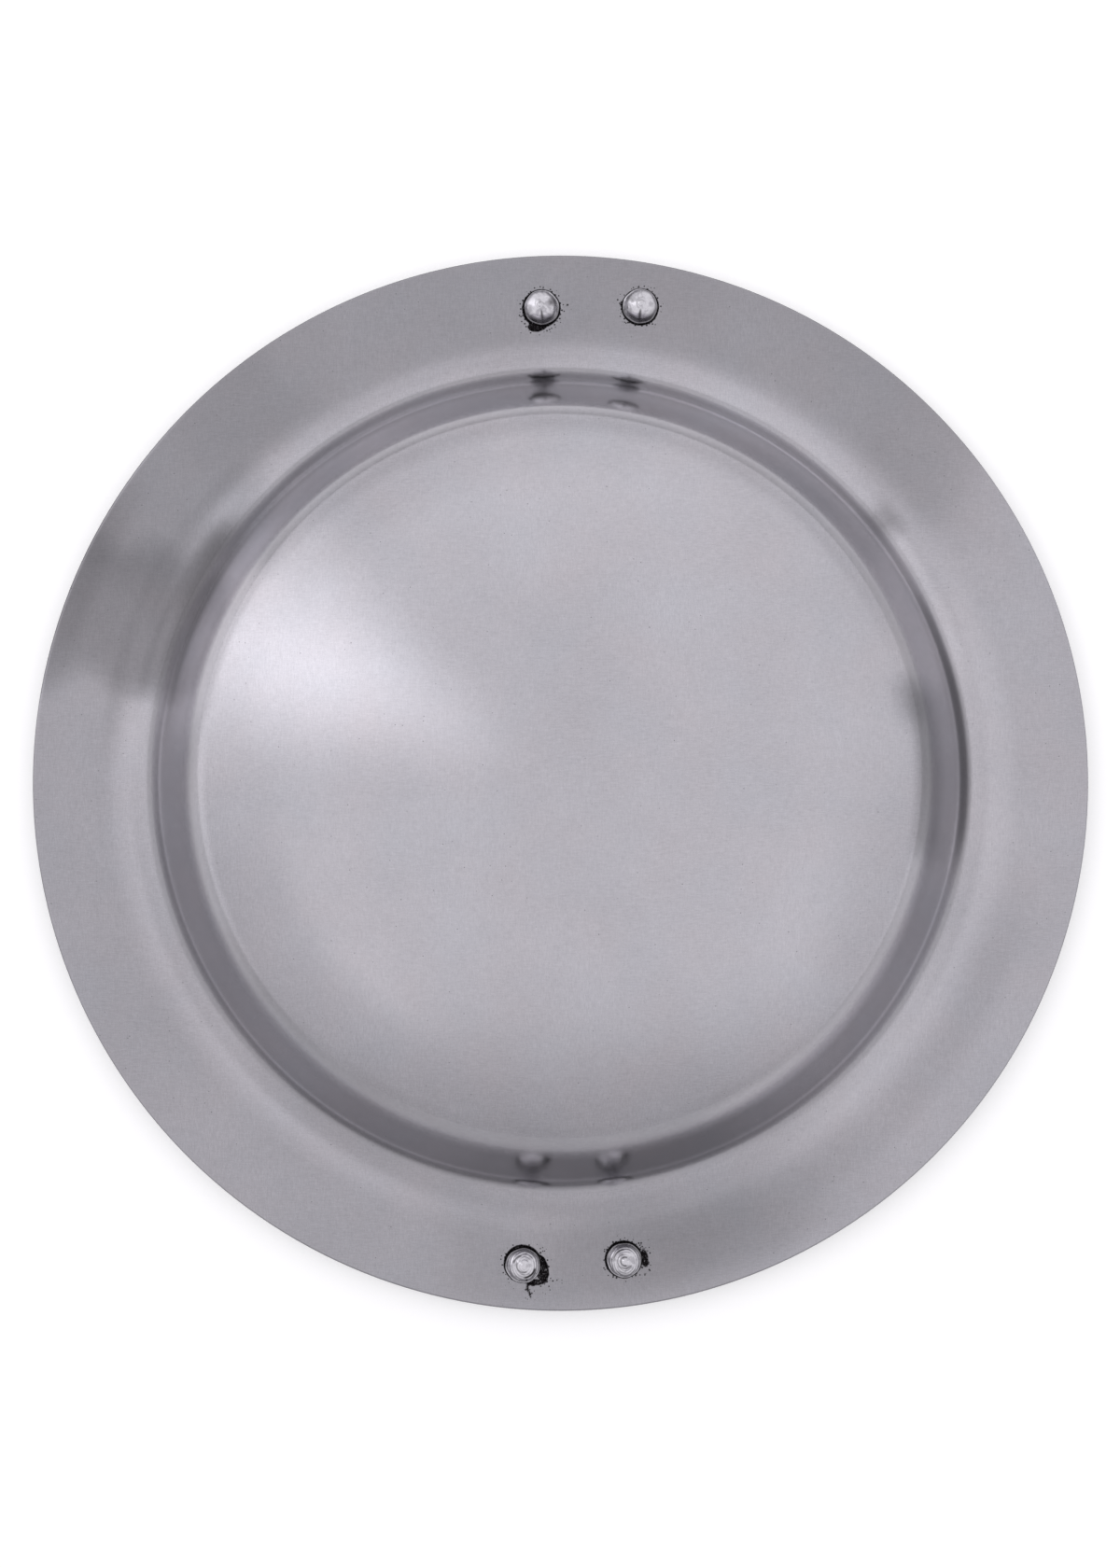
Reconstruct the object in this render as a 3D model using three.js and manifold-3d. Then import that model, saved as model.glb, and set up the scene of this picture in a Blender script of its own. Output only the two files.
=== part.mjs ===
// A steel buckler lying on its back. Millimetres, +Z out of the front of the boss, +Y towards the
// upper pair of rivets. The origin is on the surface it lies on, under the middle of the rim.
import * as THREE from 'three';
import { mergeVertices } from 'three/addons/utils/BufferGeometryUtils.js';
import Module from 'manifold-3d';

const wasm = await Module();
wasm.setup();

const degrees = Math.PI / 180;
const fitGap = 0.3; // between neighbouring pieces

// Shield body, pressed from one sheet. Radii and angles are those of its front surface.
const shieldDiameter = 300;
const sheetThickness = 2;
const rimChamfer = 0.5;
const flangeAngle = 1.5 * degrees; // the flange falls this much towards the rim
const flareStart = 129.6; // radius where the flange starts to rise into the boss
const flareRadius = 19.6;
const wallAngle = 63.5 * degrees; // the wall is straight at its foot,
const wallHeight = 9.6;
const wallBulgeRadius = 110; // bulges a little above that,
const wallTopAngle = 58.5 * degrees;
const shoulderRadius = 15; // and turns over at the shoulder into the dome
const domeEdgeAngle = 30 * degrees;
const bossOffset = new THREE.Vector2(-0.3, 0.4); // the boss was pressed a little off the centre
const bossLean = new THREE.Vector2(0.1, 1.7); // and its dome stands further off than its foot
const domeSteps = 9;
const bodySegments = 72;

// Rivets, set by hand, so that their four places are not quite regular
const rivetPlaces = [
  { name: 'rivet_top_left', x: -5.6, y: 135.3 },
  { name: 'rivet_top_right', x: 22.9, y: 135.7 },
  { name: 'rivet_bottom_left', x: -10.5, y: -136.8 },
  { name: 'rivet_bottom_right', x: 18.3, y: -135.5 },
];
const headDiameter = 9.8;
const headHeight = 3.6;
const shankDiameter = 5.6;
const tailDiameter = 9.4;
const tailHeight = 2.2;
const tailFlatDiameter = 6;
const rivetSegments = 20;

// Grip: a steel strap with flat feet, its long edges rolled up between them
const gripCentre = new THREE.Vector2(6.3, -0.4);
const gripTurn = -1 * degrees; // it was riveted on slightly askew
const gripLength = 290;
const gripThickness = 2.5;
const footHalfWidth = 24;
const footCornerRadius = 10;
const footLength = 28;
const rollLength = 30; // the stretch over which a foot's edges roll up into the handle
const handleHalfWidth = 20; // measured along the sheet, before it was rolled
const handleFlatHalfWidth = 6;
const rollAngle = 115 * degrees;

const footUnderside = tailHeight + fitGap;
const rimUnderside = footUnderside + gripThickness + fitGap;
const rivetHoleDiameter = shankDiameter + 2 * fitGap;

const steel = new THREE.MeshStandardMaterial({ color: 0xa7a4ab, metalness: 1, roughness: 0.3 });
const gripSteel = new THREE.MeshStandardMaterial({ color: 0x97949b, metalness: 1, roughness: 0.42 });
const rivetSteel = new THREE.MeshStandardMaterial({ color: 0xc4c3c6, metalness: 1, roughness: 0.22 });

const lerp = THREE.MathUtils.lerp;
const smoothstep = THREE.MathUtils.smoothstep;

// Closed solid of a geometry: vertices merged by position, and triangles with no area left out
function toSolid(geometry) {
  const bare = geometry.clone();
  bare.deleteAttribute('normal');
  bare.deleteAttribute('uv');
  const merged = mergeVertices(bare, 1e-4);
  const corners = [];
  for (let i = 0; i < merged.index.count; i += 3) {
    const [a, b, c] = [0, 1, 2].map((k) => merged.index.getX(i + k));
    if (a !== b && b !== c && c !== a) corners.push(a, b, c);
  }
  const vertProperties = new Float32Array(merged.attributes.position.array);
  const triVerts = new Uint32Array(corners);
  return new wasm.Manifold(new wasm.Mesh({ numProp: 3, vertProperties, triVerts }));
}

function toGeometry(solid) {
  const mesh = solid.getMesh();
  const geometry = new THREE.BufferGeometry();
  geometry.setAttribute('position', new THREE.BufferAttribute(mesh.vertProperties, 3));
  geometry.setIndex(new THREE.BufferAttribute(mesh.triVerts, 1));
  return geometry;
}

function piece(name, solid, material) {
  const mesh = new THREE.Mesh(toGeometry(solid), material);
  mesh.name = name;
  return mesh;
}

// A profile of (radius, height) points turned about the Z axis
function turned(profile, segments) {
  return new THREE.LatheGeometry(profile, segments).rotateX(Math.PI / 2);
}

function drilled(solid) {
  const drillLength = 40;
  let result = solid;
  for (const { x, y } of rivetPlaces) {
    const drill = new THREE.CylinderGeometry(rivetHoleDiameter / 2, rivetHoleDiameter / 2, drillLength, 16);
    result = result.subtract(toSolid(drill.rotateX(Math.PI / 2).translate(x, y, 0)));
  }
  return result;
}

// Front surface of the body from the rim to the crown, as places with their slope. The slope grows
// through the flare, holds on the wall and dies away over the shoulder and the dome.
function frontSurface() {
  const places = [];
  const rimRadius = shieldDiameter / 2;
  let radius = rimRadius;
  let height = rimUnderside + sheetThickness;
  const add = (slope) => places.push({ radius, height, slope });
  const bend = (bendRadius, from, to, steps) => {
    for (let i = 1; i <= steps; i += 1) {
      const a = lerp(from, to, (i - 1) / steps);
      const b = lerp(from, to, i / steps);
      radius -= bendRadius * Math.abs(Math.sin(b) - Math.sin(a));
      height += bendRadius * Math.abs(Math.cos(b) - Math.cos(a));
      add(b);
    }
  };
  add(flangeAngle);
  radius = flareStart;
  height += (rimRadius - flareStart) * Math.tan(flangeAngle);
  add(flangeAngle);
  bend(flareRadius, flangeAngle, wallAngle, 6);
  radius -= wallHeight / Math.tan(wallAngle);
  height += wallHeight;
  add(wallAngle);
  bend(wallBulgeRadius, wallAngle, wallTopAngle, 1);
  bend(shoulderRadius, wallTopAngle, domeEdgeAngle, 3);
  bend(radius / Math.sin(domeEdgeAngle), domeEdgeAngle, 0, domeSteps);
  return places;
}

const front = frontSurface();
const domeEdge = front[front.length - 1 - domeSteps];

// How far the boss stands off the middle of the rim, at a place on the body
function bossShift(radius, height) {
  const onBoss = smoothstep(flareStart - radius, 0, flareRadius);
  const up = smoothstep(height, rimUnderside, domeEdge.height);
  return bossOffset.clone().addScaledVector(bossLean, up).multiplyScalar(onBoss);
}

function body() {
  const offset = ({ radius, height, slope }, depth) =>
    new THREE.Vector2(radius - depth * Math.sin(slope), height - depth * Math.cos(slope));
  const [rim, ...inner] = front;
  const chamfered = (depth) => {
    const edge = offset(rim, depth);
    const turn = depth === 0 ? -rimChamfer : rimChamfer;
    return [new THREE.Vector2(edge.x - rimChamfer, edge.y), new THREE.Vector2(edge.x, edge.y + turn)];
  };
  const back = inner.map((place) => offset(place, sheetThickness));
  const face = inner.map((place) => offset(place, 0));
  back[back.length - 1].x = 0;
  face[face.length - 1].x = 0;
  const profile = [...back.reverse(), ...chamfered(sheetThickness), ...chamfered(0).reverse(), ...face];
  const geometry = turned(profile, bodySegments);
  const position = geometry.attributes.position;
  for (let i = 0; i < position.count; i += 1) {
    const [x, y, z] = [position.getX(i), position.getY(i), position.getZ(i)];
    const shift = bossShift(Math.hypot(x, y), z);
    position.setXY(i, x + shift.x, y + shift.y);
  }
  return drilled(toSolid(geometry));
}

// Half the strap's width and how far its edges are rolled up, at a distance from its end
function gripWidthAt(fromEnd) {
  const corner = Math.max(0, footCornerRadius - fromEnd);
  const rounding = footCornerRadius - Math.sqrt(footCornerRadius ** 2 - corner ** 2);
  const waist = smoothstep(fromEnd, footLength, footLength + rollLength);
  return lerp(footHalfWidth, handleHalfWidth, waist) - rounding;
}

function gripRollAt(fromEnd) {
  return rollAngle * smoothstep(fromEnd, footLength, footLength + rollLength);
}

// Middle line of the strap's section: flat in the middle, with an arc up to each edge
function gripSection(fromEnd) {
  const arcSteps = 5;
  const arcLength = gripWidthAt(fromEnd) - handleFlatHalfWidth;
  const roll = gripRollAt(fromEnd);
  const half = [];
  for (let i = 0; i <= arcSteps; i += 1) {
    const angle = (roll * i) / arcSteps;
    const along = (arcLength * i) / arcSteps;
    const across = roll > 0 ? (arcLength / roll) * Math.sin(angle) : along;
    const rise = roll > 0 ? (arcLength / roll) * (1 - Math.cos(angle)) : 0;
    half.push({ x: handleFlatHalfWidth + across, z: rise, angle });
  }
  const mirrored = half.map(({ x, z, angle }) => ({ x: -x, z, angle: -angle })).reverse();
  return [...mirrored, ...half];
}

function gripStations() {
  const half = gripLength / 2;
  const fromEnds = [0, 20, 40, 60, 75, 90].map((turn) => footCornerRadius * (1 - Math.cos(turn * degrees)));
  fromEnds.push(footLength);
  const rollSteps = 6;
  for (let i = 1; i <= rollSteps; i += 1) fromEnds.push(footLength + (rollLength * i) / rollSteps);
  const lower = fromEnds.map((fromEnd) => ({ y: fromEnd - half, fromEnd }));
  const upper = fromEnds.map((fromEnd) => ({ y: half - fromEnd, fromEnd })).reverse();
  return [...lower, ...upper];
}

function grip() {
  const vertices = [];
  const faces = [];
  const stations = gripStations();
  const middle = footUnderside + gripThickness / 2;
  for (const { y, fromEnd } of stations) {
    const section = gripSection(fromEnd);
    const side = (way) => section.map(({ x, z, angle }) => [
      x - way * (gripThickness / 2) * Math.sin(angle),
      y,
      middle + z + way * (gripThickness / 2) * Math.cos(angle),
    ]);
    vertices.push(...side(1), ...side(-1).reverse());
  }
  const around = vertices.length / stations.length;
  for (let s = 0; s + 1 < stations.length; s += 1) {
    for (let i = 0; i < around; i += 1) {
      const [a, b] = [s * around + i, s * around + ((i + 1) % around)];
      faces.push(a, b, b + around, a, b + around, a + around);
    }
  }
  const last = (stations.length - 1) * around;
  for (let i = 0; i + 1 < around / 2; i += 1) {
    const opposite = around - 1 - i;
    faces.push(i, opposite, opposite - 1, i, opposite - 1, i + 1);
    faces.push(last + i, last + opposite - 1, last + opposite, last + i, last + i + 1, last + opposite - 1);
  }
  const geometry = new THREE.BufferGeometry();
  geometry.setAttribute('position', new THREE.Float32BufferAttribute(vertices.flat(), 3));
  geometry.setIndex(faces);
  geometry.rotateZ(gripTurn).translate(gripCentre.x, gripCentre.y, 0);
  return drilled(toSolid(geometry));
}

// A round-headed rivet standing on the flat of its hammered tail
function rivet(x, y) {
  const flangeRise = (shieldDiameter / 2 - Math.hypot(x, y)) * Math.tan(flangeAngle);
  const tilt = (headDiameter / 2) * Math.tan(flangeAngle);
  const headUnderside = rimUnderside + sheetThickness + flangeRise + tilt + fitGap;
  const profile = [
    new THREE.Vector2(0, 0),
    new THREE.Vector2(tailFlatDiameter / 2, 0),
    new THREE.Vector2(lerp(tailFlatDiameter, tailDiameter, 0.7) / 2, tailHeight * 0.3),
    new THREE.Vector2(tailDiameter / 2, tailHeight * 0.75),
    new THREE.Vector2(tailDiameter / 2, tailHeight),
    new THREE.Vector2(shankDiameter / 2, tailHeight),
    new THREE.Vector2(shankDiameter / 2, headUnderside),
  ];
  const domeSteps = 5;
  for (let i = 0; i <= domeSteps; i += 1) {
    const angle = (i / domeSteps) * 90 * degrees;
    const reach = i === domeSteps ? 0 : (headDiameter / 2) * Math.cos(angle);
    profile.push(new THREE.Vector2(reach, headUnderside + headHeight * Math.sin(angle)));
  }
  return toSolid(turned(profile, rivetSegments).translate(x, y, 0));
}

const buckler = new THREE.Group();
buckler.add(piece('plate', body(), steel));
buckler.add(piece('grip', grip(), gripSteel));
for (const { name, x, y } of rivetPlaces) {
  buckler.add(piece(name, rivet(x, y), rivetSteel));
}

export default buckler;
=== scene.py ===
import math

import bmesh
import bpy
import numpy as np
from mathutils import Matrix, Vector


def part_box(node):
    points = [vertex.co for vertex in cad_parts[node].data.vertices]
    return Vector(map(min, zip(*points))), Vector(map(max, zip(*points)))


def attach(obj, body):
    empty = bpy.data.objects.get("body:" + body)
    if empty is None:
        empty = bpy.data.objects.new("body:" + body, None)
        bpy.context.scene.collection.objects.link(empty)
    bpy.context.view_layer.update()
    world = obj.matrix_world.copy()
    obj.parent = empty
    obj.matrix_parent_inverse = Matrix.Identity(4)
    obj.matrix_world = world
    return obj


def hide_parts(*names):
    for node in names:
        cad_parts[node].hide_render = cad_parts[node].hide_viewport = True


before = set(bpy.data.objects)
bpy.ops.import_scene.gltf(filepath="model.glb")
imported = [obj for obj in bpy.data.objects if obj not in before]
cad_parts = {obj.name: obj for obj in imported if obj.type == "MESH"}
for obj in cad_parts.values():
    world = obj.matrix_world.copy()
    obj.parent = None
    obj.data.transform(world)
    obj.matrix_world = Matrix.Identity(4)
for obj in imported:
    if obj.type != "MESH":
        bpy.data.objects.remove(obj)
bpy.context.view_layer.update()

# A steel buckler, boss up. Shapes are worked out in millimetres and set down in metres.
mm = 0.001
scene = bpy.context.scene


def smooth(value, low, high):
    t = np.clip((value - low) / (high - low), 0, 1)
    return t * t * (3 - 2 * t)


def linear(hexColour):
    # sRGB hex to the linear values that sockets want
    parts = [int(hexColour[i:i + 2], 16) / 255 for i in (1, 3, 5)]
    return [c / 12.92 if c <= 0.04045 else ((c + 0.055) / 1.055) ** 2.4 for c in parts] + [1]


def addNode(tree, kind, settings=None, **inputs):
    # settings are the node's own properties; an input takes a socket to join or a value to set
    node = tree.nodes.new(kind)
    for key, value in (settings or {}).items():
        setattr(node, key, value)
    for key, value in inputs.items():
        socket = node.inputs[int(key[1:])] if key[1:].isdigit() else node.inputs[key.replace("_", " ")]
        if isinstance(value, bpy.types.NodeSocket):
            tree.links.new(value, socket)
        else:
            socket.default_value = value
    return node


# Plate: one disc of 2 mm sheet, pressed into a flat flange, a flared wall and a low dome
plateSpec = {
    "thickness": 2.0,
    "rimRounding": 0.7,
    "flangeSlope": 1.5,  # degrees, the flange falls to the rim
    "flareStart": 129.6,  # radius where the flange starts to rise into the boss
    "flareRadius": 19.6,
    "wallSlope": 63.5,  # the wall is straight at its foot
    "wallHeight": 9.6,
    "bulgeRadius": 110.0,  # and bulges a little above that
    "wallTopSlope": 58.5,
    "shoulderRadius": 15.0,
    "domeSlope": 30.0,  # at the dome's edge
    "bossOffset": (-0.3, 0.4),  # the boss was pressed a little off the middle of the rim
    "bossLean": (0.1, 1.7),  # and its dome stands further off than its foot
    "unevenness": 0.06,  # height of the long low waves that pressing leaves
    # a painted highlight: the bright line where the crease at the foot of the wall catches the light, as
    # middle, radius, width and tone
    "paintedFootHighlight": (-0.5, 0.6, 112.7, 0.35, 1.4),
    "flangeTone": 0.77,  # the flange's colour is darker than the boss's
    "backTone": 0.85,
    "paintedReflections": [  # painted reflections: darker and brighter patches painted into the colour where the steel mirrors darker and brighter surroundings
        # azimuth, half width and softness in degrees, from and to radius, softness in mm, tone
        (143, 16, 10, 124, 160, 4, 0.79),
        (158.5, 9.5, 2.5, 122, 160, 4, 0.72),
        (155, 11, 3, 116, 124, 3, 0.58),
        (142, 6, 4, 119, 129, 3, 0.75),
        (155, 8, 5, 120.5, 127, 2, 0.7),
        (161, 13, 5, 120, 130, 3, 0.84),
        (152, 12, 4, 113, 121, 3, 0.68),
        (155, 11, 4, 143, 160, 3, 0.88),
        (85, 47, 8, 124, 160, 5, 0.86),
        (108, 22, 12, 117, 127, 4, 0.88),
        (40, 2, 2, 114, 122, 3, 0.6),
        (45, 28, 10, 114.3, 117, 1, 1.18),
        (288, 14, 12, 122, 146, 6, 0.72),
        (268, 12, 6, 122, 148, 5, 0.88),
        (285, 40, 18, 115.5, 121, 2, 1.2),
        (143, 28, 10, 106, 111.5, 1.5, 1.25),
        (157, 13, 6, 101.5, 105.5, 1, 1.45),
        (190, 18, 10, 99, 102.5, 1.2, 1.2),
        (325, 32, 8, 99.5, 104.5, 1.2, 1.22),
        (215, 25, 15, 80, 103, 6, 0.89),
        (118, 14, 10, 85, 103, 6, 0.92),
        (8, 26, 12, 124, 160, 6, 1.16),
        (2, 14, 3.5, 99, 107, 2, 0.64),
        (13, 3, 2, 95.5, 104, 2, 0.8),
        (2, 14, 3, 107, 111, 1.5, 0.82),
        (7, 18, 6, 112.6, 115.4, 0.8, 0.45),
        (7, 12, 5, 111, 116, 1, 0.78),
        (205, 25, 10, 113, 115, 0.8, 0.85),
        (82, 72, 20, 104, 111.5, 1, 1.24),
        (85, 60, 15, 98, 102.5, 1.8, 0.86),
        (252, 26, 10, 113.2, 114.9, 0.7, 0.75),
        (150, 6, 4, 117, 121, 1.5, 0.74),
        (255, 70, 15, 102, 105, 1, 1.15),
        (30, 12, 6, 117, 120, 1.5, 1.15),
        (315, 28, 12, 138, 160, 4, 1.12),
        (95, 70, 25, 112.4, 113, 0.3, 1.5),
    ],
}

# Rivets: round heads on hammered tails
rivetShape = {
    "headHeight": 3.6,
    "domeRadius": 4.62,
    "domeHeight": 3.4,
    "lipRadius": 4.95,
    "lipRounding": 0.25,
    "shankRadius": 2.8,
    "holeRadius": 3.1,
    "seatDepth": 0.35,  # the head has sunk this far into the plate
    "seatDip": 0.12,  # and drawn it down a little all round
    "crackHalfWidth": 0.4,
    "tailRadius": 4.7,
    "tailHeight": 2.2,
    "tailFlat": 3.0,
}
# All offsets are from the middle of the head, seen from the front.
# lip: how far the lip stands off the dome; nub: the raised middle, as offset and half sizes
# rings: how strongly the hammer left rings round the nub; the boss-side shade: how strongly painted shade
# darkens the side towards the boss
# seat: the gap round the head, as offset and radius; crack: a line in the plate
# chips, specks: hollows in the plate, as offset, half length, half width, turn in degrees and depth
# streaks: painted dark reflections on the head, as azimuth, half width in degrees, from and to radius,
# strength
# arcs: dark rings on the head, as radius, from and to azimuth, half width in mm, strength
rivetSpecs = {
    "rivet_top_left": {
        "lip": (0.3, -0.25), "nub": (-0.3, 0.75, 0.75, 0.95), "rings": 0.0, "seat": (0.1, -0.45, 5.5),
        "chips": [(-1.0, -5.5, 2.9, 1.55, 8, 0.7)],
        "specks": [(7.6, 0.4, 0.22, 0.2, 0, 0.1), (-5.6, -2.6, 0.3, 0.5, 20, 0.15),
                   (5.5, -2.2, 0.3, 0.6, -20, 0.2)],
        "crack": [], "bossSideShade": 0.7, "streaks": [(-82, 15, 1.2, 4.2, 0.85), (20, 30, 2.4, 4.6, 0.6)],
        "arcs": [(1.1, 20, 160, 0.12, 0.4)],
    },
    "rivet_top_right": {
        "lip": (-0.3, -0.3), "nub": (-0.1, 0.5, 0.7, 1.0), "rings": 0.0, "seat": (-0.2, -0.4, 5.3),
        "chips": [(-5.6, 0.1, 0.45, 1.0, 20, 0.3)],
        "specks": [(3.7, 3.4, 0.3, 0.2, 40, 0.15), (3.6, -4.1, 0.35, 0.2, 60, 0.15),
                   (-5.3, -1.9, 0.35, 0.4, 0, 0.2)],
        "crack": [], "bossSideShade": 0.7, "streaks": [(-98, 16, 1.4, 4.4, 0.85), (150, 26, 2.2, 4.6, 0.55)],
        "arcs": [(1.2, 60, 240, 0.12, 0.4)],
    },
    "rivet_bottom_left": {
        "lip": (-0.15, -0.1), "nub": (0.3, 0.0, 1.2, 1.4), "rings": 1.0, "seat": (-0.3, 0.4, 5.4),
        "chips": [(5.2, -1.1, 1.9, 4.3, 12, 0.8), (3.4, -5.0, 3.3, 0.95, 2, 0.7)], "specks": [],
        "crack": [(1.3, -5.2), (1.1, -6.8), (1.9, -8.6)], "bossSideShade": 0.3, "streaks": [],
        "arcs": [(3.4, -85, -12, 0.3, 0.95), (2.9, 100, 165, 0.28, 0.75), (1.9, 150, 300, 0.2, 0.65)],
    },
    "rivet_bottom_right": {
        "lip": (-0.2, 0.1), "nub": (0.1, -0.35, 1.1, 1.3), "rings": 1.0, "seat": (-0.4, 0.3, 5.4),
        "chips": [(5.6, 0.6, 1.1, 2.9, 8, 0.3)],
        "specks": [(4.5, 4.5, 0.4, 0.25, 30, 0.2), (5.7, -3.8, 0.4, 0.25, 10, 0.2),
                   (6.3, 2.6, 0.3, 0.3, 0, 0.15)],
        "crack": [], "bossSideShade": 0.3, "streaks": [(170, 16, 2.4, 4.2, 0.4)],
        "arcs": [(1.2, 60, 290, 0.2, 0.75), (2.1, 100, 330, 0.16, 0.6), (3.3, 95, 170, 0.25, 0.75)],
    },
}

# Grip: a steel strap with flat feet, its long edges rolled up between them
gripSpec = {
    "thickness": 2.5,
    "turn": -1.0,  # degrees, it was riveted on slightly askew
    "length": 290.0,
    "footHalfWidth": 24.0,
    "footCorner": 10.0,
    "footLength": 28.0,
    "rollLength": 30.0,  # the stretch over which the foot's edges roll up into the handle
    "handleHalfWidth": 20.0,  # along the sheet, before it was rolled
    "flatHalfWidth": 6.0,
    "rollAngle": 115.0,
    "edgeRounding": 1.0,
}


def nodeMiddle(node):
    low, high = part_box(node)
    return (low + high) / 2 / mm


def profileRows(spec, rimRadius, rimHeight):
    # the front surface from the rim to the crown, as radius, height and slope
    rows = [(rimRadius - spec["rimRounding"], rimHeight, math.radians(spec["flangeSlope"]))]

    def straight(toRadius, steps):
        radius, height, slope = rows[-1]
        for r in np.linspace(radius, toRadius, steps + 1)[1:]:
            rows.append((r, height + (radius - r) * math.tan(slope), slope))

    def bend(bendRadius, endSlope, steps):
        radius, height, slope = rows[-1]
        for a in np.linspace(slope, math.radians(endSlope), steps + 1)[1:]:
            rise = bendRadius * abs(math.cos(a) - math.cos(slope))
            rows.append((radius - bendRadius * abs(math.sin(a) - math.sin(slope)), height + rise, a))

    straight(spec["flareStart"], 40)
    bend(spec["flareRadius"], spec["wallSlope"], 32)
    straight(rows[-1][0] - spec["wallHeight"] / math.tan(math.radians(spec["wallSlope"])), 9)
    bend(spec["bulgeRadius"], spec["wallTopSlope"], 7)
    bend(spec["shoulderRadius"], spec["domeSlope"], 14)
    domeEdge = rows[-1][1]
    bend(rows[-1][0] / math.sin(rows[-1][2]), 0, 44)
    return np.array(rows), domeEdge


def columnAngles(denseSpans, fine, coarse):
    # azimuths round the plate, close together near the rivets
    angles = []
    angle = 0.0
    while angle < 360 - coarse / 2:
        angles.append(angle)
        inside = any(low <= angle < high for low, high in denseSpans)
        angle += fine if inside else coarse
    return np.radians(angles)


def meshFromRings(name, rings):
    # a closed skin over rings of points; an end ring that has shrunk to a point becomes a pole
    count, around = rings.shape[:2]
    index = np.arange(count * around).reshape(count, around)
    turned = np.roll(index, -1, axis=1)
    faces = np.stack([index[:-1], turned[:-1], turned[1:], index[1:]], axis=-1).reshape(-1, 4).tolist()
    for ring in (0, count - 1):
        if np.ptp(rings[ring], axis=0).max() > 1e-6:
            faces.append(index[ring].tolist())
    mesh = bpy.data.meshes.new(name)
    mesh.from_pydata((rings.reshape(-1, 3) * mm).tolist(), [], faces)
    work = bmesh.new()
    work.from_mesh(mesh)
    bmesh.ops.remove_doubles(work, verts=work.verts, dist=1e-7)
    bmesh.ops.dissolve_degenerate(work, edges=work.edges, dist=1e-8)
    bmesh.ops.recalc_face_normals(work, faces=work.faces)
    work.to_mesh(mesh)
    work.free()
    mesh.shade_smooth()
    piece = bpy.data.objects.new(name, mesh)
    scene.collection.objects.link(piece)
    return piece


def ellipseDistance(x, y, hollow):
    # signed distance, roughly, to a turned ellipse: negative inside
    middleX, middleY, halfLength, halfWidth, turn = hollow[:5]
    c, s = math.cos(math.radians(turn)), math.sin(math.radians(turn))
    across, along = (x - middleX) * c + (y - middleY) * s, (y - middleY) * c - (x - middleX) * s
    return (np.hypot(across / halfLength, along / halfWidth) - 1) * min(halfLength, halfWidth)


def lineDistance(x, y, line):
    nearest = np.full_like(x, 99.0)
    for (ax, ay), (bx, by) in zip(line, line[1:]):
        dx, dy = bx - ax, by - ay
        t = np.clip(((x - ax) * dx + (y - ay) * dy) / (dx * dx + dy * dy), 0, 1)
        nearest = np.minimum(nearest, np.hypot(x - ax - t * dx, y - ay - t * dy))
    return nearest


def rivetSurround(x, y):
    # how deep the plate is hollowed round the rivets, and how near each place is to the black round them:
    # dirt, and painted shade in the gaps under the heads
    depth = np.zeros_like(x)
    distance = np.full_like(x, 99.0)
    for node, spec in rivetSpecs.items():
        middle = nodeMiddle(node)
        dx, dy = x - middle.x, y - middle.y
        seatX, seatY, seatRadius = spec["seat"]
        seat = np.hypot(dx - seatX, dy - seatY) - seatRadius
        depth += rivetShape["seatDepth"] * smooth(-seat, 0, 0.5)
        depth += rivetShape["seatDip"] * smooth(-seat, -4.5, 0)
        distance = np.minimum(distance, seat)
        for hollow in spec["chips"] + spec["specks"]:
            edge = ellipseDistance(dx, dy, hollow)
            depth = np.maximum(depth, hollow[5] * smooth(-edge, 0, 0.5))
            distance = np.minimum(distance, edge)
        if spec["crack"]:
            gap = lineDistance(dx, dy, spec["crack"]) - rivetShape["crackHalfWidth"]
            distance = np.minimum(distance, gap)
    return depth, distance


def longWaves(x, y, height):
    # the long low unevenness of hand-finished sheet
    rng = np.random.default_rng(197)
    total = np.zeros_like(x)
    for wave in range(9):
        length, heading, phase = rng.uniform(38, 110), rng.uniform(0, math.pi), rng.uniform(0, 2 * math.pi)
        total += np.sin(2 * math.pi * (x * math.cos(heading) + y * math.sin(heading)) / length + phase)
    return total * height / 3


def drill(piece, radius):
    # real holes for the four rivets
    for node in rivetSpecs:
        middle = nodeMiddle(node)
        turns = np.linspace(0, 2 * math.pi, 33)[:-1]
        ring = np.stack([middle.x + radius * np.cos(turns), middle.y + radius * np.sin(turns), turns * 0], -1)
        cutter = meshFromRings("cutter", np.stack([ring - [0, 0, 5], ring + [0, 0, 25]]))
        cut = piece.modifiers.new("hole", "BOOLEAN")
        cut.operation, cut.solver, cut.object = "DIFFERENCE", "MANIFOLD", cutter
        bpy.context.view_layer.objects.active = piece
        bpy.ops.object.modifier_apply(modifier=cut.name)
        bpy.data.objects.remove(cutter)


def steelToneWithReflections(x, y):
    # the steel's colour tone: 1 on the boss, darker on the flange, with a painted highlight line at the foot
    # of the wall and the painted reflections laid over it
    r, azimuth = np.hypot(x, y), np.degrees(np.arctan2(y, x))
    drift = longWaves(x * 2.2, y * 2.2, 1.4)
    tone = 1 - (1 - plateSpec["flangeTone"]) * smooth(r, 116, 132)
    footX, footY, footRadius, footWidth, footTone = plateSpec["paintedFootHighlight"]
    fromFoot = (np.hypot(x - footX, y - footY) - footRadius) / footWidth
    tone *= 1 + (footTone - 1) * np.exp(-fromFoot ** 2)
    for middle, half, soft, low, high, blur, shade in plateSpec["paintedReflections"]:
        away = np.abs((azimuth - middle + drift + 180) % 360 - 180)
        mask = smooth(half + soft - away, 0, 2 * soft) * smooth(r, low - blur, low + blur)
        mask *= smooth(high + blur - r, 0, 2 * blur)
        tone *= 1 - (1 - shade) * mask
    return tone


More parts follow.
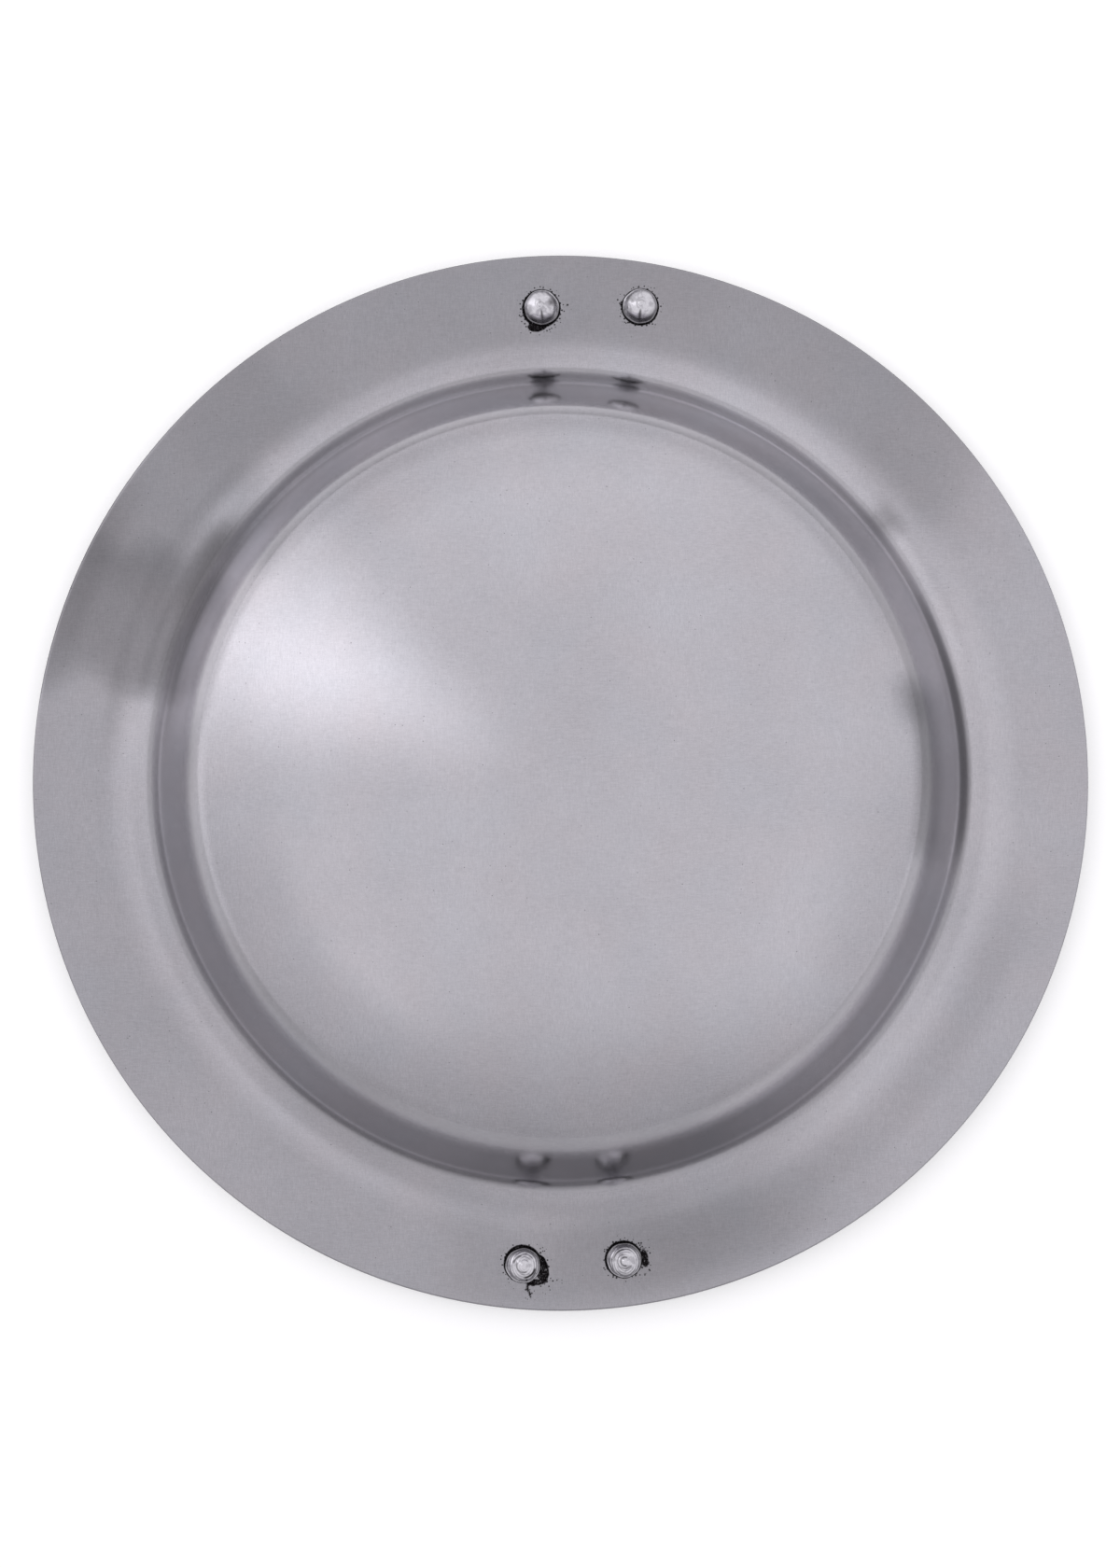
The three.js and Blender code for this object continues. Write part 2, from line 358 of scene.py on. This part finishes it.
def makePlate():
    spec = plateSpec
    low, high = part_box("plate")
    rimRadius = (high.x - low.x) / 2 / mm
    rimHeight = low.z / mm + spec["thickness"]
    front, domeEdge = profileRows(spec, rimRadius, rimHeight)
    radius, height, slope = front.T
    thickness = spec["thickness"]
    back = np.stack([radius - thickness * np.sin(slope), height - thickness * np.cos(slope)], -1)
    turn = np.radians(np.linspace(90, -90, 11))
    rounding = spec["rimRounding"]
    lift = np.where(turn > 0, rimHeight - rounding, rimHeight - thickness + rounding)
    rim = np.stack([rimRadius - rounding + rounding * np.cos(turn), lift + rounding * np.sin(turn)], -1)
    outline = np.concatenate([front[::-1, :2], rim[1:-1], back[::3], back[-1:]])
    isFront = np.arange(len(outline)) < len(front)
    outline[0, 0] = outline[-1, 0] = 0

    angles = columnAngles([(75, 97.6), (260.5, 283)], 0.22, 1.6)
    r, z = outline[:, :1], np.repeat(outline[:, 1:], len(angles), axis=1)
    x, y = r * np.cos(angles), r * np.sin(angles)
    r = np.hypot(x, y)

    onBoss = smooth(spec["flareStart"] - r, 0, spec["flareRadius"])
    up = smooth(z, low.z / mm, domeEdge)
    x = x + onBoss * (spec["bossOffset"][0] + up * spec["bossLean"][0])
    y = y + onBoss * (spec["bossOffset"][1] + up * spec["bossLean"][1])
    z = z + longWaves(x, y, spec["unevenness"])
    depth, distance = rivetSurround(x, y)
    z = z - depth * isFront[:, None] * (r > spec["flareStart"] - 4)

    plate = meshFromRings("plate_sheet", np.stack([x, y, z], -1))
    drill(plate, rivetShape["holeRadius"])
    x, y, z = vertexPlaces(plate)
    facing = np.empty(len(x) * 3, np.float32)
    plate.data.vertices.foreach_get("normal", facing)
    onFront = smooth(facing[2::3], -0.3, 0.3)
    # painted highlight and painted reflections on the front, with the flange's darker tone; an even tone on
    # the back
    paint(plate, "toneWithReflections", spec["backTone"] + (steelToneWithReflections(x, y) - spec["backTone"]) * onFront)
    # over a half in the black gaps round the rivets, fading out 2 mm away; the black there is dirt with
    # painted shade in the gaps under the heads
    paint(plate, "dirtAndShade", np.clip(0.5 - rivetSurround(x, y)[1] / 4, 0, 1))
    return plate


def vertexPlaces(piece):
    co = np.empty(len(piece.data.vertices) * 3, np.float32)
    piece.data.vertices.foreach_get("co", co)
    return co.reshape(-1, 3).T / mm


def paint(piece, name, value):
    # a value at each vertex, for the material to read
    layer = piece.data.attributes.new(name, "FLOAT", "POINT")
    layer.data.foreach_set("value", value.astype(np.float32))


def rivetRings(headHeight):
    # one rivet about its own axis, from the flat of the tail to the top of the head
    shape = rivetShape
    rows = [(0, 0), (1.5, 0), (shape["tailFlat"], 0)]
    for a in np.radians(np.linspace(12, 90, 7)):
        reach = shape["tailFlat"] + (shape["tailRadius"] - shape["tailFlat"]) * math.sin(a)
        rows.append((reach, shape["tailHeight"] * 0.75 * (1 - math.cos(a))))
    rows += [(shape["tailRadius"] - 0.1, shape["tailHeight"]), (shape["shankRadius"], shape["tailHeight"])]
    rounding = shape["lipRounding"]
    lipMiddle = shape["lipRadius"] - rounding
    rows += [(shape["shankRadius"], headHeight), (lipMiddle, headHeight)]
    for a in np.radians(np.linspace(-60, 70, 7)):
        rows.append((lipMiddle + rounding * math.cos(a), headHeight + rounding + rounding * math.sin(a)))
    for a in np.radians(np.linspace(8, 90, 40)):
        rise = shape["domeHeight"] * math.sin(a)
        rows.append((shape["domeRadius"] * math.cos(a), headHeight + max(rise, 0.5)))
    rows = np.array(rows)
    rows[-1, 0] = 0
    turns = np.linspace(0, 2 * math.pi, 97)[:-1]
    x, y = rows[:, :1] * np.cos(turns), rows[:, :1] * np.sin(turns)
    z = np.repeat(rows[:, 1:], len(turns), axis=1)
    return x, y, z


def headMarks(spec, out, turn):
    # the painted dark reflections and the dark rings on a head, by distance from its middle and azimuth
    marks = np.zeros_like(out)
    for azimuth, half, near, far, strength in spec["streaks"]:
        away = np.abs((turn - azimuth + 180) % 360 - 180)
        along = smooth(out, near - 0.5, near + 0.5) * smooth(-out, -far - 0.3, -far + 0.3)
        marks = np.maximum(marks, strength * smooth(-away, -half, 0) * along)
    for radius, start, end, half, strength in spec["arcs"]:
        reach = (end - start) / 2
        away = np.abs((turn - (start + end) / 2 + 180) % 360 - 180)
        across = smooth(-np.abs(out - radius), -half - 0.12, -half + 0.12)
        marks = np.maximum(marks, strength * smooth(-away, -reach - 8, -reach + 8) * across)
    return marks


def rivetDirtAndShade(spec, middle, headHeight, x, y, z):
    # painted shade darkens the side towards the boss; the lip is darkened all round and more on that side,
    # partly dirt and partly shade painted in the gap under it; the head's painted dark reflections and rings
    # are added
    out = np.hypot(x - middle.x, y - middle.y)
    turn = np.degrees(np.arctan2(y - middle.y, x - middle.x))
    towards = -np.sign(middle.y) * (y - middle.y) / np.maximum(out, 0.5)
    onLip = (1 - smooth(z, headHeight + 0.35, headHeight + 1.0)) * smooth(z, 3, 6)
    onSide = 1 - smooth(z, headHeight + 1.4, headHeight + 2.9)
    lip = onLip * (0.25 + 0.5 * smooth(towards, -0.6, 0.3))
    side = onSide * smooth(towards, 0.25, 0.85) * spec["bossSideShade"]
    marks = headMarks(spec, out, turn) * smooth(z, headHeight, headHeight + 0.6)
    return np.maximum(np.maximum(lip, side), marks)


def makeRivet(node, seed):
    spec = rivetSpecs[node]
    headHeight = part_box(node)[1].z / mm - rivetShape["headHeight"]
    x, y, z = rivetRings(headHeight)
    rng = np.random.default_rng(seed)
    onHead = smooth(z, headHeight + 0.3, headHeight + 1.2)
    onLip = smooth(z, headHeight - 0.01, headHeight + 0.02) * (1 - onHead)
    nubX, nubY, nubWide, nubLong = spec["nub"]
    fromNub = np.hypot((x - nubX) / nubWide, (y - nubY) / nubLong)
    rings = 0.08 * spec["rings"] * np.cos(2 * math.pi * fromNub / 0.55) * smooth(fromNub, 0.3, 0.9)
    z = z + onHead * 0.16 * (1 - smooth(fromNub, 0.75, 1.15))
    z = z - onHead * 0.07 * np.exp(-((fromNub - 1.35) / 0.3) ** 2)
    z = z + onHead * rings
    for dent in range(9):
        heading, reach = rng.uniform(0, 2 * math.pi), rng.uniform(0.8, 4.0)
        near = np.hypot(x - reach * math.cos(heading), y - reach * math.sin(heading))
        z = z - onHead * rng.uniform(0.03, 0.1) * np.exp(-(near / rng.uniform(0.6, 1.3)) ** 2)
    turn = np.arctan2(y, x)
    edge = 1 + 0.012 * np.sin(3 * turn + seed) + 0.01 * np.sin(7 * turn + 2 * seed)
    x, y = x * edge + onLip * spec["lip"][0], y * edge + onLip * spec["lip"][1]
    middle = nodeMiddle(node)
    rivet = meshFromRings(node + "_forged", np.stack([x + middle.x, y + middle.y, z], -1))
    paint(rivet, "dirtAndShade", rivetDirtAndShade(spec, middle, headHeight, *vertexPlaces(rivet)))
    return rivet


def gripRing(spec, fromEnd):
    # the strap's outline across its length: flat in the middle, an arc up to each edge, round edges
    corner = max(0.0, spec["footCorner"] - fromEnd)
    cornerCut = spec["footCorner"] - math.sqrt(spec["footCorner"] ** 2 - corner ** 2)
    rolled = float(smooth(fromEnd, spec["footLength"], spec["footLength"] + spec["rollLength"]))
    width = spec["footHalfWidth"] + (spec["handleHalfWidth"] - spec["footHalfWidth"]) * rolled - cornerCut
    rounding = spec["edgeRounding"]
    endCut = max(0.0, 1 - fromEnd / rounding)
    half = spec["thickness"] / 2 - rounding * (1 - math.sqrt(1 - endCut ** 2)) * 0.9
    roll = max(math.radians(spec["rollAngle"]) * rolled, 1e-4)
    arc = width - spec["flatHalfWidth"] - half
    steps = np.linspace(0, 1, 12)
    angle = roll * steps
    bendRadius = arc / roll
    lineX = spec["flatHalfWidth"] + bendRadius * np.sin(angle)
    lineZ = bendRadius * (1 - np.cos(angle))
    inner = np.stack([lineX - half * np.sin(angle), lineZ + half * np.cos(angle)], -1)
    outer = np.stack([lineX + half * np.sin(angle), lineZ - half * np.cos(angle)], -1)
    around = np.radians(np.linspace(90, -90, 9))[1:-1] + roll
    cap = np.stack([lineX[-1] + half * np.cos(around), lineZ[-1] + half * np.sin(around)], -1)
    right = np.concatenate([inner, cap, outer[::-1]])
    left = right[::-1] * [-1, 1]
    return np.concatenate([right, left])


def makeGrip():
    spec = gripSpec
    low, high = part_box("grip")
    middle = nodeMiddle("grip")
    corner = spec["footCorner"]
    fromEnds = [corner * (1 - math.cos(a)) for a in np.radians(np.linspace(0, 90, 16))]
    fromEnds += list(np.linspace(corner, spec["footLength"], 6)[1:])
    fromEnds += list(spec["footLength"] + np.linspace(0, spec["rollLength"], 19)[1:])
    rolledTo = spec["footLength"] + spec["rollLength"]
    fromEnds += list(np.linspace(rolledTo, spec["length"] / 2, 10)[1:])
    lower = [(d - spec["length"] / 2, d) for d in fromEnds]
    stations = lower + [(-y, d) for y, d in lower[-2::-1]]
    rings = []
    for y, fromEnd in stations:
        ring = gripRing(spec, fromEnd)
        rings.append(np.stack([ring[:, 0], np.full(len(ring), y), ring[:, 1]], -1))
    rings = np.array(rings)
    rings[..., 2] += low.z / mm + spec["thickness"] / 2
    rings[..., 2] += longWaves(rings[..., 0], rings[..., 1], 0.06)
    turn = math.radians(spec["turn"])
    x, y = rings[..., 0].copy(), rings[..., 1].copy()
    rings[..., 0] = x * math.cos(turn) - y * math.sin(turn) + middle.x
    rings[..., 1] = x * math.sin(turn) + y * math.cos(turn) + middle.y
    grip = meshFromRings("grip_strap", rings)
    drill(grip, rivetShape["holeRadius"])
    return grip


def newMaterial(name):
    material = bpy.data.materials.new(name)
    material.use_nodes = True
    tree = material.node_tree
    tree.nodes.clear()
    return material, tree


def sandedSteel():
    # mild steel sheet sanded to a satin: soft wide reflections, a fine broken grain, a faint violet cast
    material, tree = newMaterial("sanded_mild_steel")
    where = addNode(tree, "ShaderNodeTexCoord")
    inMm = addNode(tree, "ShaderNodeVectorMath", {"operation": "SCALE"}, i0=where.outputs["Object"],
                   Scale=1000.0)
    place = inMm.outputs["Vector"]
    blotch = addNode(tree, "ShaderNodeTexNoise", Vector=place, Scale=1 / 38, Detail=4.0, Roughness=0.55)
    tint = addNode(tree, "ShaderNodeTexNoise", Vector=place, Scale=1 / 22, Detail=2.0)
    alongX = addNode(tree, "ShaderNodeMapping", i0=place, Scale=(0.45, 2.7, 0.7))
    alongY = addNode(tree, "ShaderNodeMapping", i0=place, Scale=(2.7, 0.45, 0.7))
    grainX = addNode(tree, "ShaderNodeTexNoise", Vector=alongX.outputs[0], Scale=1.0, Detail=4.0,
                     Roughness=0.8)
    grainY = addNode(tree, "ShaderNodeTexNoise", Vector=alongY.outputs[0], Scale=1.0, Detail=4.0,
                     Roughness=0.8)
    grain = addNode(tree, "ShaderNodeMix", Factor=blotch.outputs["Fac"], i2=grainX.outputs["Fac"],
                    i3=grainY.outputs["Fac"])
    shade = addNode(tree, "ShaderNodeMapRange", Value=grain.outputs[0], From_Min=0.3, From_Max=0.7,
                    To_Min=0.84, To_Max=1.15)
    broad = addNode(tree, "ShaderNodeMapRange", Value=blotch.outputs["Fac"], From_Min=0.3, From_Max=0.7,
                    To_Min=0.945, To_Max=1.045)
    tone = addNode(tree, "ShaderNodeMath", {"operation": "MULTIPLY"}, i0=shade.outputs[0],
                   i1=broad.outputs[0])
    # this tone carries a painted highlight line and painted reflections
    toneWithReflections = addNode(tree, "ShaderNodeAttribute", {"attribute_name": "toneWithReflections"})
    tonedWithReflections = addNode(tree, "ShaderNodeMath", {"operation": "MULTIPLY"}, i0=tone.outputs[0],
                       i1=toneWithReflections.outputs["Fac"])
    colour = addNode(tree, "ShaderNodeMix", {"data_type": "RGBA"}, Factor=tint.outputs["Fac"],
                     i6=linear("#bebabd"), i7=linear("#b9babf"))
    toned = addNode(tree, "ShaderNodeVectorMath", {"operation": "SCALE"}, i0=colour.outputs[2],
                    Scale=tonedWithReflections.outputs[0])
    pits = addNode(tree, "ShaderNodeTexVoronoi", Vector=place, Scale=1 / 3.4, Randomness=1.0)
    pitMask = addNode(tree, "ShaderNodeMapRange", Value=pits.outputs["Distance"], From_Min=0.03,
                      From_Max=0.06, To_Min=0.5, To_Max=0.0)
    dirtAndShade = addNode(tree, "ShaderNodeAttribute", {"attribute_name": "dirtAndShade"})
    ragged = addNode(tree, "ShaderNodeTexNoise", Vector=place, Scale=1.1, Detail=4.0, Roughness=0.65)
    edge = addNode(tree, "ShaderNodeMath", {"operation": "MULTIPLY_ADD"}, i0=ragged.outputs["Fac"], i1=0.14,
                   i2=dirtAndShade.outputs["Fac"])
    cakedAndShaded = addNode(tree, "ShaderNodeMapRange", {"interpolation_type": "SMOOTHSTEP"}, Value=edge.outputs[0],
                    From_Min=0.55, From_Max=0.62)
    worn = addNode(tree, "ShaderNodeTexNoise", Vector=place, Scale=1.5, Detail=2.0, Distortion=1.5)
    wornMask = addNode(tree, "ShaderNodeMapRange", Value=worn.outputs["Fac"], From_Min=0.56, From_Max=0.66,
                       To_Min=1.0, To_Max=0.45)
    black = addNode(tree, "ShaderNodeMath", {"operation": "MULTIPLY"}, i0=cakedAndShaded.outputs[0],
                    i1=wornMask.outputs[0])
    crumbs = addNode(tree, "ShaderNodeTexVoronoi", Vector=place, Scale=1.1, Randomness=1.0)
    crumbSize = addNode(tree, "ShaderNodeMath", {"operation": "MULTIPLY_ADD"}, i0=dirtAndShade.outputs["Fac"],
                        i1=-0.7, i2=crumbs.outputs["Distance"])
    crumbMask = addNode(tree, "ShaderNodeMapRange", Value=crumbSize.outputs[0], From_Min=-0.02, From_Max=0.06,
                        To_Min=0.85, To_Max=0.0)
    spots = addNode(tree, "ShaderNodeMath", {"operation": "MAXIMUM"}, i0=crumbMask.outputs[0],
                    i1=pitMask.outputs[0])
    dark = addNode(tree, "ShaderNodeMath", {"operation": "MAXIMUM"}, i0=black.outputs[0], i1=spots.outputs[0])
    # the black is dirt in chips, specks and cracks, and painted shade in the gaps under the rivet heads
    final = addNode(tree, "ShaderNodeMix", {"data_type": "RGBA"}, Factor=dark.outputs[0],
                    i6=toned.outputs["Vector"], i7=linear("#171416"))
    rough = addNode(tree, "ShaderNodeMapRange", Value=grain.outputs[0], From_Min=0.25, From_Max=0.75,
                    To_Min=0.12, To_Max=0.18)
    roughness = addNode(tree, "ShaderNodeMath", {"operation": "MULTIPLY_ADD"}, i0=dark.outputs[0], i1=0.4,
                        i2=rough.outputs[0])
    bump = addNode(tree, "ShaderNodeBump", Strength=0.25, Distance=0.00003, Height=grain.outputs[0])
    shader = addNode(tree, "ShaderNodeBsdfPrincipled", Base_Color=final.outputs[2], Metallic=1.0,
                     Roughness=roughness.outputs[0], Normal=bump.outputs[0])
    addNode(tree, "ShaderNodeOutputMaterial", Surface=shader.outputs[0])
    return material


def hammeredSteel():
    # soft steel rivets, left bright by the hammer's polishing, with fine scuffs and duller smears; the lip
    # and the side towards the boss are darkened by painted shade and some dirt, and the heads carry painted
    # dark reflections
    material, tree = newMaterial("hammered_rivet_steel")
    where = addNode(tree, "ShaderNodeTexCoord")
    inMm = addNode(tree, "ShaderNodeVectorMath", {"operation": "SCALE"}, i0=where.outputs["Object"],
                   Scale=1000.0)
    scuffs = addNode(tree, "ShaderNodeTexNoise", Vector=inMm.outputs[0], Scale=1.6, Detail=5.0, Roughness=0.7)
    smears = addNode(tree, "ShaderNodeTexNoise", Vector=inMm.outputs[0], Scale=0.45, Detail=3.0,
                     Distortion=1.2)
    bright = addNode(tree, "ShaderNodeMix", {"data_type": "RGBA"}, Factor=scuffs.outputs["Fac"],
                     i6=linear("#b5b4b8"), i7=linear("#e8e7ea"))
    smeared = addNode(tree, "ShaderNodeMapRange", {"interpolation_type": "SMOOTHSTEP"},
                      Value=smears.outputs["Fac"], From_Min=0.46, From_Max=0.64, To_Min=0.0, To_Max=0.5)
    colour = addNode(tree, "ShaderNodeMix", {"data_type": "RGBA"}, Factor=smeared.outputs[0],
                     i6=bright.outputs[2], i7=linear("#8d8b90"))
    dirtAndShade = addNode(tree, "ShaderNodeAttribute", {"attribute_name": "dirtAndShade"})
    # dark colour: dirt, painted shade on the lip and the boss side, and painted dark reflections on the heads
    dirtyAndShaded = addNode(tree, "ShaderNodeMix", {"data_type": "RGBA"}, Factor=dirtAndShade.outputs["Fac"],
                    i6=colour.outputs[2], i7=linear("#2b282a"))
    rough = addNode(tree, "ShaderNodeMapRange", Value=scuffs.outputs["Fac"], From_Min=0.3, From_Max=0.7,
                    To_Min=0.08, To_Max=0.18)
    bump = addNode(tree, "ShaderNodeBump", Strength=0.5, Distance=0.00005, Height=scuffs.outputs["Fac"])
    shader = addNode(tree, "ShaderNodeBsdfPrincipled", Base_Color=dirtyAndShaded.outputs[2], Metallic=1.0,
                     Roughness=rough.outputs[0], Normal=bump.outputs[0])
    addNode(tree, "ShaderNodeOutputMaterial", Surface=shader.outputs[0])
    return material


def rolledSteel():
    # cold-rolled strap, left as it came from the rollers: duller and darker, with a lengthwise grain
    material, tree = newMaterial("rolled_strap_steel")
    where = addNode(tree, "ShaderNodeTexCoord")
    inMm = addNode(tree, "ShaderNodeVectorMath", {"operation": "SCALE"}, i0=where.outputs["Object"],
                   Scale=1000.0)
    along = addNode(tree, "ShaderNodeMapping", i0=inMm.outputs[0], Scale=(1.8, 0.08, 1.8))
    grain = addNode(tree, "ShaderNodeTexNoise", Vector=along.outputs[0], Scale=1.0, Detail=5.0,
                    Roughness=0.65)
    colour = addNode(tree, "ShaderNodeMix", {"data_type": "RGBA"}, Factor=grain.outputs["Fac"],
                     i6=linear("#8d8a8e"), i7=linear("#a9a6aa"))
    rough = addNode(tree, "ShaderNodeMapRange", Value=grain.outputs["Fac"], From_Min=0.3, From_Max=0.7,
                    To_Min=0.34, To_Max=0.46)
    bump = addNode(tree, "ShaderNodeBump", Strength=0.3, Distance=0.00005, Height=grain.outputs["Fac"])
    shader = addNode(tree, "ShaderNodeBsdfPrincipled", Base_Color=colour.outputs[2], Metallic=1.0,
                     Roughness=rough.outputs[0], Normal=bump.outputs[0])
    addNode(tree, "ShaderNodeOutputMaterial", Surface=shader.outputs[0])
    return material


def paperWhite():
    # matt white paper with a fine tooth, its colour painted a little lighter beyond the shield's top edge
    # than before it, as painted light
    material, tree = newMaterial("white_paper_sweep")
    where = addNode(tree, "ShaderNodeTexCoord")
    tooth = addNode(tree, "ShaderNodeTexNoise", Vector=where.outputs["Object"], Scale=900.0, Detail=3.0)
    near = addNode(tree, "ShaderNodeMix", {"data_type": "RGBA"}, Factor=tooth.outputs["Fac"],
                   i6=linear("#cdcdcd"), i7=linear("#d2d2d2"))
    far = addNode(tree, "ShaderNodeMix", {"data_type": "RGBA"}, Factor=tooth.outputs["Fac"],
                  i6=linear("#dfdfdf"), i7=linear("#e4e4e4"))
    split = addNode(tree, "ShaderNodeSeparateXYZ", i0=where.outputs["Object"])
    rise = addNode(tree, "ShaderNodeMapRange", Value=split.outputs[1], From_Min=-0.2, From_Max=0.2)
    fall = addNode(tree, "ShaderNodeMapRange", Value=split.outputs[1], From_Min=0.22, From_Max=0.7,
                   To_Min=1.0, To_Max=0.0)
    across = addNode(tree, "ShaderNodeMath", {"operation": "MULTIPLY"}, i0=rise.outputs[0],
                     i1=fall.outputs[0])
    colour = addNode(tree, "ShaderNodeMix", {"data_type": "RGBA"}, Factor=across.outputs[0],
                     i6=near.outputs[2], i7=far.outputs[2])
    ray = addNode(tree, "ShaderNodeLightPath")
    glow = addNode(tree, "ShaderNodeMath", {"operation": "MULTIPLY"}, i0=ray.outputs["Is Camera Ray"],
                   i1=floorSpec["glow"])
    shader = addNode(tree, "ShaderNodeBsdfPrincipled", Base_Color=colour.outputs[2], Roughness=0.9,
                     Emission_Color=linear("#ffffff"), Emission_Strength=glow.outputs[0])
    addNode(tree, "ShaderNodeOutputMaterial", Surface=shader.outputs[0])
    return material


def finishPiece(piece, material, node):
    piece.data.materials.clear()
    piece.data.materials.append(material)
    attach(piece, "root")
    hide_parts(node)


# Floor: a wide sheet of white paper
floorSpec = {"radius": 2500.0, "glow": 0.45}  # the camera sees it a little brighter than the steel does


def makeFloor():
    turns = np.linspace(0, 2 * math.pi, 97)[:-1]
    rings = []
    for radius, height in ((0, -1), (floorSpec["radius"], -1), (floorSpec["radius"], 0), (0, 0)):
        rings.append(np.stack([radius * np.cos(turns), radius * np.sin(turns), turns * 0 + height], -1))
    floor = meshFromRings("paper_floor", np.array(rings))
    floor.data.shade_flat()
    floor.data.materials.append(paperWhite())


# Light: a bright room, dimmer low down and on the near side, with one tall soft light to the upper
# left. Azimuths run anticlockwise from +X.
lightSpec = {
    "colour": "#fcfaff",
    "room": 0.95,
    "near": 0.72,  # brightness of the near side, towards -Y
    "nearHorizon": 0.84,
    "farHorizon": 0.93,
    "far": 1.1,
    "sides": 0.05,
    "softAzimuth": 155.0,
    "softHalfWidth": 27.0,
    "softStrength": 0.74,
    "softFull": 50.0,  # degrees from straight up where it is at its brightest
    "softFade": 60.0,
    "softEnd": 98.0,
    "backdrop": "#ffffff",
}


def makeLight():
    spec = lightSpec
    world = bpy.data.worlds.new("studio")
    scene.world = world
    world.use_nodes = True
    tree = world.node_tree
    tree.nodes.clear()

    def ease(value, low, high, start, end):
        node = addNode(tree, "ShaderNodeMapRange", {"interpolation_type": "SMOOTHSTEP"}, Value=value,
                       From_Min=low, From_Max=high, To_Min=start, To_Max=end)
        return node.outputs[0]

    def calc(operation, *values):
        named = {f"i{i}": value for i, value in enumerate(values)}
        return addNode(tree, "ShaderNodeMath", {"operation": operation}, **named).outputs[0]

    where = addNode(tree, "ShaderNodeTexCoord")
    x, y, z = addNode(tree, "ShaderNodeSeparateXYZ", i0=where.outputs["Generated"]).outputs
    depth = calc("MULTIPLY", ease(y, -0.95, -0.5, spec["near"], 1.0), ease(y, 0.45, 0.8, 1.0, spec["far"]))
    width = ease(calc("ABSOLUTE", x), 0.0, 0.6, 1.0, 1.0 + spec["sides"])
    horizon = ease(y, -0.3, 0.1, spec["nearHorizon"], spec["farHorizon"])
    low = addNode(tree, "ShaderNodeMix", i0=ease(z, 0.42, 0.68, 0.0, 1.0), i2=horizon, i3=1.0).outputs[0]
    room = calc("MULTIPLY", calc("MULTIPLY", depth, width), low)
    turned = calc("SUBTRACT", calc("ARCTAN2", y, x), math.radians(spec["softAzimuth"]))
    away = calc("ABSOLUTE", calc("WRAP", turned, -math.pi, math.pi))
    across = ease(away, math.radians(spec["softHalfWidth"]), 0.0, 0.0, 1.0)
    polar = calc("ARCCOSINE", z)
    rise = ease(polar, 0.0, math.radians(spec["softFull"]), 0.0, 1.0)
    fall = ease(polar, math.radians(spec["softEnd"]), math.radians(spec["softFade"]), 0.0, 1.0)
    soft = calc("MULTIPLY", calc("MULTIPLY", across, rise), fall)
    total = calc("MULTIPLY", calc("MULTIPLY_ADD", soft, spec["softStrength"], room), spec["room"])
    lit = addNode(tree, "ShaderNodeBackground", Color=linear(spec["colour"]), Strength=total)
    seen = addNode(tree, "ShaderNodeBackground", Color=linear(spec["backdrop"]), Strength=1.0)
    ray = addNode(tree, "ShaderNodeLightPath")
    mix = addNode(tree, "ShaderNodeMixShader", i0=ray.outputs["Is Camera Ray"], i1=lit.outputs[0],
                  i2=seen.outputs[0])
    addNode(tree, "ShaderNodeOutputWorld", Surface=mix.outputs[0])


# Camera: straight above, far enough back that the boss hardly swells
cameraSpec = {"distance": 1500.0, "rimShare": 0.6734, "shift": (-0.13, -0.21)}


def makeCamera():
    low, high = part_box("plate")
    data = bpy.data.cameras.new("camera")
    camera = bpy.data.objects.new("camera", data)
    scene.collection.objects.link(camera)
    frameHeight = (high.x - low.x) / cameraSpec["rimShare"]
    distance = cameraSpec["distance"] * mm
    data.sensor_width = 36
    data.lens = data.sensor_width * distance / frameHeight
    data.clip_end = 50
    rimTop = low.z + plateSpec["thickness"] * mm
    camera.location = (cameraSpec["shift"][0] * mm, cameraSpec["shift"][1] * mm, rimTop + distance)
    scene.camera = camera


makeCamera()
makeLight()
makeFloor()
print("stage: camera, light and floor")

steel = sandedSteel()
plate = makePlate()
finishPiece(plate, steel, "plate")
print("plate:", len(plate.data.polygons), "faces")

grip = makeGrip()
finishPiece(grip, rolledSteel(), "grip")
print("grip:", len(grip.data.polygons), "faces")

rivetSteel = hammeredSteel()
for number, node in enumerate(rivetSpecs):
    finishPiece(makeRivet(node, number + 3), rivetSteel, node)
print("rivets:", len(rivetSpecs))

scene.view_settings.view_transform = "Standard"
